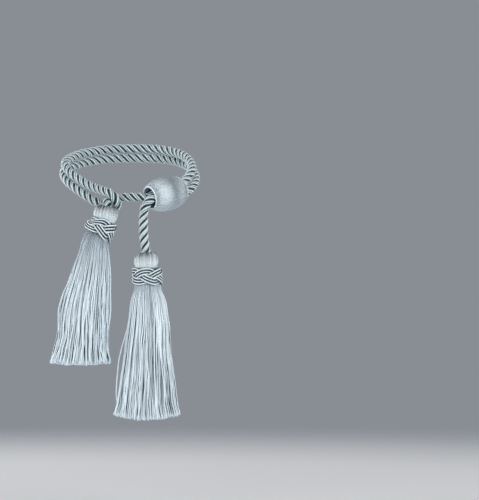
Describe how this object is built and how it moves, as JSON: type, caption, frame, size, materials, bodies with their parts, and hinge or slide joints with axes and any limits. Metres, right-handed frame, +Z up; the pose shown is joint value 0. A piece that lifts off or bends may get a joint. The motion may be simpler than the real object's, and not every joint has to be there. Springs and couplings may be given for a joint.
{
  "type": "curtain tieback tassel",
  "caption": "Twisted rope tieback, doubled into a loop for a gathered curtain, with a sliding barrel bead and two hanging tassels on braided collars.",
  "frame": {"origin": "the back of the loop, midway between the rope's two runs, where a wall hook holds it", "axes": "+Z up, +Y back to the wall, -Y to the viewer, +X to the viewer's right"},
  "size_m": [0.1473, 0.1463, 0.281],
  "materials": {
    "rope": "satin yarn",
    "bead": "satin thread winding",
    "head": "satin thread winding",
    "collar": "satin cord braid",
    "skirt": "satin yarn"
  },
  "bodies": {
    "root": {"rope": "rope", "bead": "bead", "tassel_left_head": "head", "tassel_left_collar": "collar", "tassel_left_skirt": "skirt", "tassel_right_head": "head", "tassel_right_collar": "collar", "tassel_right_skirt": "skirt"}
  },
  "joints": []
}
